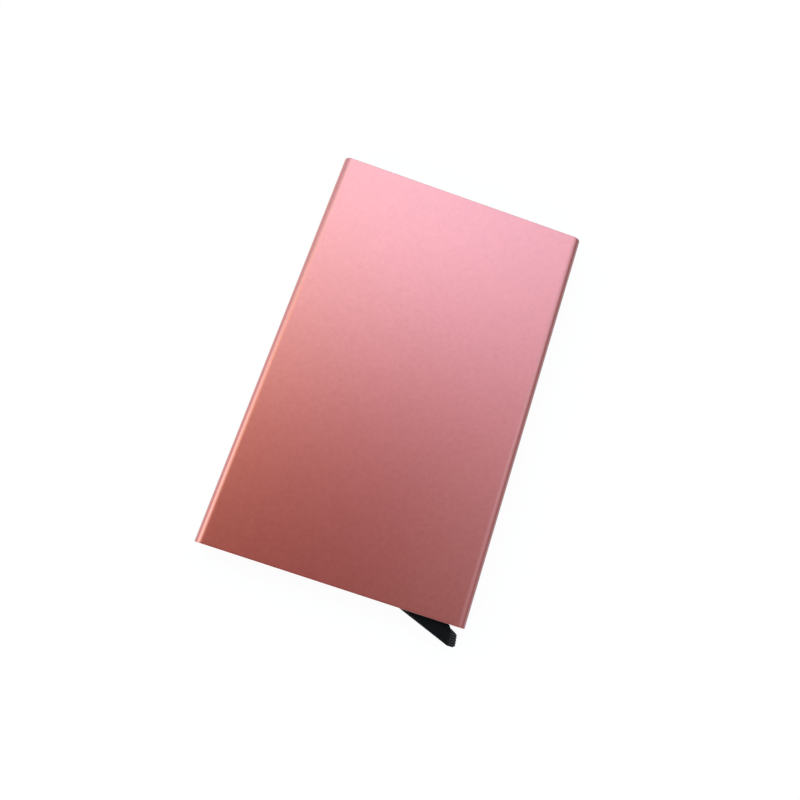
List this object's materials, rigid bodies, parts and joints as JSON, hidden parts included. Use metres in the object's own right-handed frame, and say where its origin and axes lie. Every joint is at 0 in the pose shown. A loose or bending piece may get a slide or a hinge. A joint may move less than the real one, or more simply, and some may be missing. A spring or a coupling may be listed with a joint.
{
  "type": "pop-up card holder",
  "caption": "Slim aluminium tube that holds payment cards, with a finger lever at its lower corner that fans them out of the mouth.",
  "frame": {"origin": "centre of the case's back face", "axes": "+Y along the case towards the mouth, +Z out of the front face, +X to the right as one looks at the front"},
  "size_m": [0.063, 0.1046, 0.008],
  "materials": {
    "anodised_aluminium": "satin anodised, rose",
    "frame_plastic": "fine moulded texture",
    "lever_plastic": "satin moulded",
    "pin_steel": "ground",
    "spring_steel": "drawn wire",
    "felt": "felt"
  },
  "bodies": {
    "case": {"case_sleeve": "anodised_aluminium", "inner_frame": "frame_plastic", "base_cover": "frame_plastic", "hinge_pin": "pin_steel", "return_spring": "spring_steel", "front_friction_pad": "felt", "rear_friction_pad": "felt"},
    "lever": {"eject_lever": "lever_plastic"}
  },
  "joints": [
    {"name": "lever_swing", "type": "hinge", "parent": "case", "child": "lever", "pos_m": [0.0234, -0.0434, 0.004], "axis": [0, 0, -1], "range_deg": [0, 38], "stiffness_Nm_per_rad": 0.0056, "springref_deg": -20.05, "deforming": ["return_spring"]}
  ]
}
